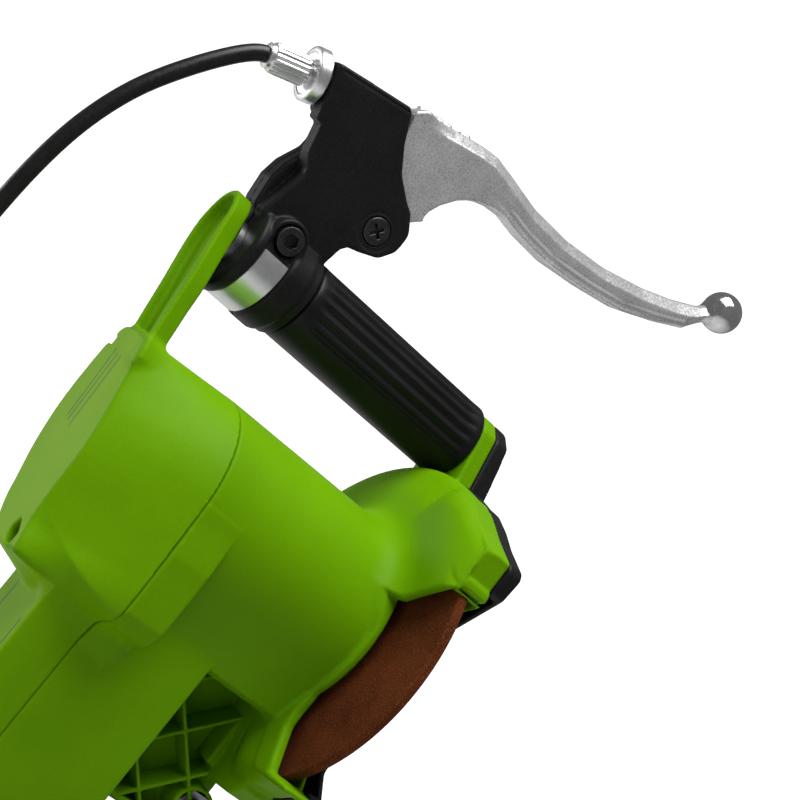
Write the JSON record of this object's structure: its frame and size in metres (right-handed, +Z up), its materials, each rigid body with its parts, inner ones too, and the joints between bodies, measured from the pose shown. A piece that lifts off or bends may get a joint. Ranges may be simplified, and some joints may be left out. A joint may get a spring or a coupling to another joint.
{
  "type": "electric chainsaw sharpener",
  "caption": "Bench chain grinder: a hinged motor head with an abrasive wheel, grip and brake lever, over a swivelling chain vice on a bolt-down base.",
  "frame": {"origin": "centre of the base's four bolt holes, on the base's underside", "axes": "+Z up, +X along the motor from the handle side to the wheel side, -Y towards the person who uses it"},
  "size_m": [0.2933, 0.3036, 0.4589],
  "materials": {
    "green_plastic": "fine grained matt",
    "black_plastic": "fine grained matt",
    "black_rubber": "soft matt, lengthwise flutes",
    "cable_sheath": "smooth semi-gloss sheath",
    "cast_alloy": "speckled die-cast grain",
    "machined_alloy": "satin",
    "bright_steel": "bright plated",
    "steel": "brushed",
    "dark_steel": "blackened",
    "painted_base": "satin powder coat",
    "abrasive": "vitrified grit, slightly pink brown",
    "copper": "wound wire",
    "brass": "machined",
    "carbon": "matt carbon",
    "red_rocker": "gloss"
  },
  "bodies": {
    "base": {"base_casting": "painted_base", "hinge_pin": "steel", "lock_stud": "steel", "cable_lower_adjuster": "bright_steel", "brake_cable": "cable_sheath"},
    "table": {"swivel_table": "cast_alloy", "table_spindle": "steel", "spindle_lock_nut": "steel", "crank_clip": "steel", "fixed_jaw": "steel", "table_screws": "dark_steel", "jaw_guide_pins": "steel", "pawl_bracket": "dark_steel", "pawl_pin": "steel"},
    "moving_jaw": {"moving_jaw": "steel"},
    "pull_rod": {"pull_rod": "steel"},
    "clamp_crank": {"clamp_crank": "steel"},
    "brake_wire": {"brake_wire": "steel"},
    "stop_pawl": {"stop_pawl": "steel"},
    "stop_adjuster": {"stop_adjuster": "bright_steel"},
    "lock_knob": {"lock_knob": "black_plastic"},
    "head": {"main_housing": "green_plastic", "motor_cover": "green_plastic", "housing_screws": "dark_steel", "guard_cover": "black_plastic", "guard_screws": "dark_steel", "handle_tube": "steel", "tube_plugs": "machined_alloy", "handle_screw": "steel", "grip": "black_rubber", "lever_bracket": "black_plastic", "clamp_band": "bright_steel", "clamp_bolt": "dark_steel", "adjuster_barrel": "bright_steel", "lock_ring": "bright_steel", "pivot_screw": "dark_steel", "lever_spring": "steel", "stator": "steel", "field_coils": "copper", "bearings": "steel", "brush_holders": "brass", "carbon_brushes": "carbon", "switch_body": "black_plastic", "cord_gland": "black_plastic", "depth_nut": "steel", "hinge_bushes": "black_plastic", "park_spring": "steel"},
    "spindle": {"motor_shaft": "steel", "armature": "steel", "commutator": "copper", "cooling_fan": "black_plastic", "inner_flange": "machined_alloy", "grinding_wheel": "abrasive", "outer_flange": "machined_alloy", "spindle_nut": "dark_steel"},
    "lever": {"brake_lever": "cast_alloy", "cable_nipple": "steel"},
    "depth_screw": {"depth_screw": "black_plastic"},
    "switch_rocker": {"switch_rocker": "red_rocker"}
  },
  "joints": [
    {"name": "head_hinge", "type": "hinge", "parent": "base", "child": "head", "pos_m": [0, 0.07, 0.125], "axis": [1, 0, 0], "range_deg": [0, 100], "stiffness_Nm_per_rad": 1.2, "springref_deg": -20.05, "deforming": ["brake_cable", "park_spring"]},
    {"name": "table_swivel", "type": "hinge", "parent": "base", "child": "table", "pos_m": [0.0273, -0.055, 0.033], "axis": [0, 0, 1], "range_deg": [-35, 35]},
    {"name": "jaw_slide", "type": "slide", "parent": "table", "child": "moving_jaw", "axis": [0, 1, 0], "range_m": [0, 0.0012]},
    {"name": "rod_slide", "type": "slide", "parent": "base", "child": "pull_rod", "axis": [0, 0, -1], "range_m": [0, 0.003]},
    {"name": "crank_turn", "type": "hinge", "parent": "base", "child": "clamp_crank", "pos_m": [0.0273, -0.055, 0.012], "axis": [0, 0, 1], "range_deg": [0, 20]},
    {"name": "wire_slide", "type": "slide", "parent": "base", "child": "brake_wire", "axis": [-1, 0, 0], "range_m": [0, 0.0096]},
    {"name": "pawl_flip", "type": "hinge", "parent": "table", "child": "stop_pawl", "pos_m": [-0.0027, -0.0415, 0.054], "axis": [1, 0, 0], "range_deg": [-70, 0]},
    {"name": "adjuster_turn", "type": "hinge", "parent": "table", "child": "stop_adjuster", "pos_m": [-0.04, -0.0415, 0.04], "axis": [1, 0, 0], "range_deg": [-180, 180]},
    {"name": "lock_knob_turn", "type": "hinge", "parent": "base", "child": "lock_knob", "pos_m": [0.0273, -0.105, 0.045], "axis": [0, 0, 1], "range_deg": [0, 180]},
    {"name": "spindle_spin", "type": "hinge", "parent": "head", "child": "spindle", "pos_m": [0.025, 0.10205, 0.24628], "axis": [1, 0, 0], "continuous": true},
    {"name": "lever_squeeze", "type": "hinge", "parent": "head", "child": "lever", "pos_m": [-0.0561, 0.15271, 0.36833], "axis": [0, 0.9848, -0.1736], "range_deg": [0, 22], "stiffness_Nm_per_rad": 0.35, "springref_deg": -17.19},
    {"name": "depth_screw_turn", "type": "hinge", "parent": "head", "child": "depth_screw", "pos_m": [0.028, 0.08598, 0.15518], "axis": [0, 0.9848, -0.1736], "range_deg": [-180, 180]},
    {"name": "rocker_tilt", "type": "hinge", "parent": "head", "child": "switch_rocker", "pos_m": [-0.047, 0.09331, 0.17369], "axis": [1, 0, 0], "range_deg": [-6, 6]}
  ],
  "couplings": [
    {"joint": "jaw_slide", "follows": "lever_squeeze", "m_per_rad": 0.003},
    {"joint": "rod_slide", "follows": "lever_squeeze", "m_per_rad": 0.0075},
    {"joint": "crank_turn", "follows": "lever_squeeze", "ratio": 0.9},
    {"joint": "wire_slide", "follows": "lever_squeeze", "m_per_rad": 0.0245}
  ]
}
